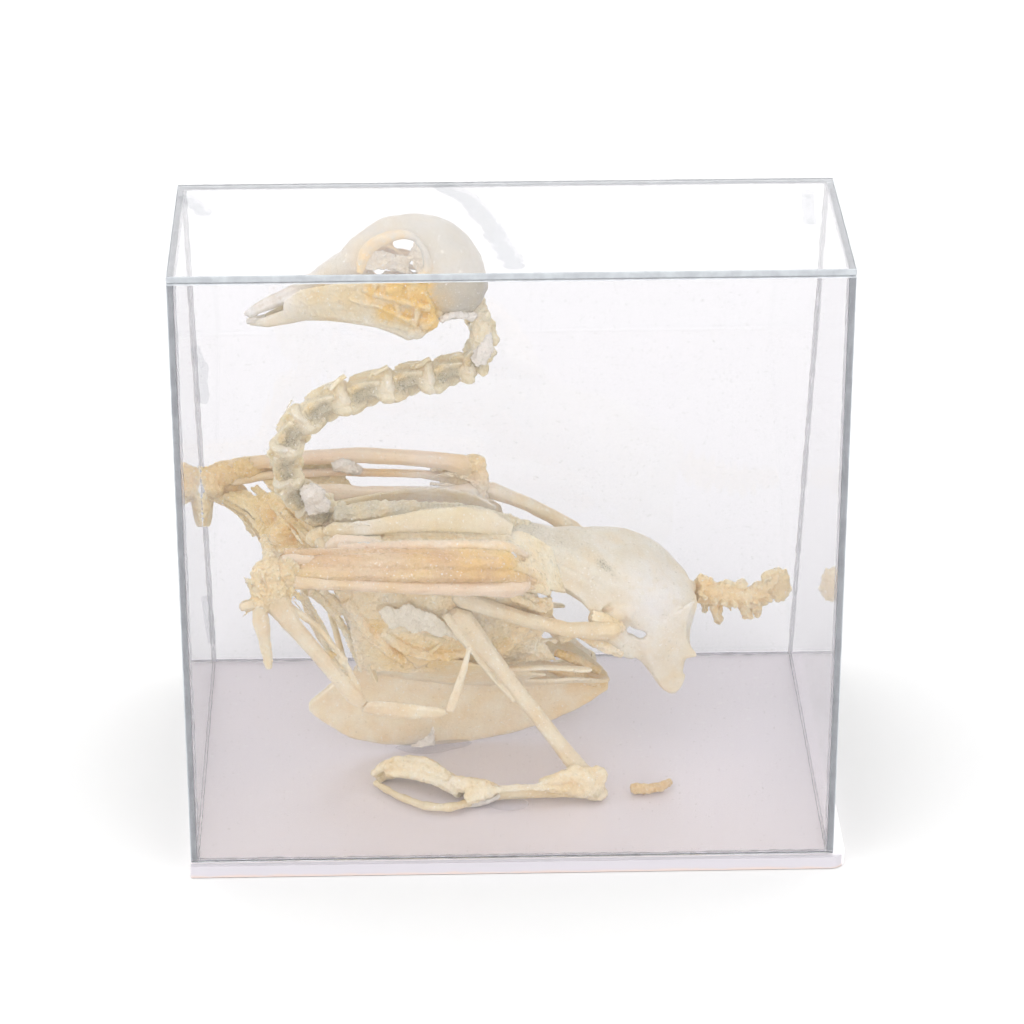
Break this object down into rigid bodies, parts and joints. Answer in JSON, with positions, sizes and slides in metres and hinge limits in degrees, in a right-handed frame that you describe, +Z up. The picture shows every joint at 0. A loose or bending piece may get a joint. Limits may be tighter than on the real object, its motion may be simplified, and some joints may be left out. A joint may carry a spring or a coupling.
{
  "type": "mounted pigeon skeleton",
  "caption": "Life-size skeleton of a resting pigeon, neck drawn back and wings folded, glued to a white base inside a closed clear case whose back leans in.",
  "frame": {"origin": "middle of the underside of the base plate", "axes": "+Z up; +X towards the end where the tail is, the bill points to -X; -Y is the upright front panel, +Y the panel that leans in"},
  "size_m": [0.1528, 0.1024, 0.1516],
  "materials": {
    "clear_acrylic": "clear acrylic, polished, a little smeared",
    "white_acrylic": "white acrylic with a lilac cast, satin",
    "skull_bone": "dry pale bone, faintly waxy",
    "neck_bone": "dry bone with grey-brown specks",
    "spine_bone": "dry bone with grey-brown specks",
    "pelvis_bone": "thin dry bone, a little see-through",
    "tail_bone": "dry bone with ochre tissue",
    "breast_bone": "thin dry cream bone",
    "rib_bone": "dry cream bone",
    "shoulder_bone": "dry cream bone",
    "wing_bone": "dry bone, pinkish tan",
    "hand_bone": "dry cream bone",
    "leg_bone": "dry cream bone",
    "foot_bone": "dry cream bone",
    "dry_sheath": "dry ochre bone with its sheath",
    "glue": "clear dried glue, glossy"
  },
  "bodies": {
    "root": {"alula_left": "hand_bone", "alula_right": "hand_bone", "back": "spine_bone", "carpometacarpus_left": "hand_bone", "carpometacarpus_right": "hand_bone", "case_back": "clear_acrylic", "case_base": "white_acrylic", "case_front": "clear_acrylic", "case_left": "clear_acrylic", "case_right": "clear_acrylic", "case_top": "clear_acrylic", "coracoid_left": "shoulder_bone", "coracoid_right": "shoulder_bone", "femur_left": "leg_bone", "femur_right": "leg_bone", "furcula": "shoulder_bone", "glue_foot": "glue", "glue_keel": "glue", "glue_neck": "glue", "humerus_left": "wing_bone", "humerus_right": "wing_bone", "mandible": "skull_bone", "neck_lower": "neck_bone", "neck_middle": "neck_bone", "neck_upper": "neck_bone", "pelvis": "pelvis_bone", "pygostyle": "tail_bone", "radius_left": "wing_bone", "radius_right": "wing_bone", "ribs_left": "rib_bone", "ribs_right": "rib_bone", "scapula_left": "shoulder_bone", "scapula_right": "shoulder_bone", "skull": "skull_bone", "sternum": "breast_bone", "tail": "tail_bone", "tarsometatarsus_left": "foot_bone", "tarsometatarsus_right": "foot_bone", "tibiotarsus_left": "leg_bone", "tibiotarsus_right": "leg_bone", "toe_hind_loose": "dry_sheath", "toe_hind_right": "foot_bone", "toe_inner_left": "foot_bone", "toe_inner_right": "foot_bone", "toe_middle_left": "foot_bone", "toe_middle_right": "foot_bone", "toe_outer_left": "foot_bone", "toe_outer_right": "foot_bone", "ulna_left": "wing_bone", "ulna_right": "wing_bone", "wing_finger_left": "hand_bone", "wing_finger_right": "hand_bone", "wing_tip_left": "hand_bone", "wing_tip_right": "hand_bone", "wrist_left": "hand_bone", "wrist_right": "hand_bone"}
  },
  "joints": []
}
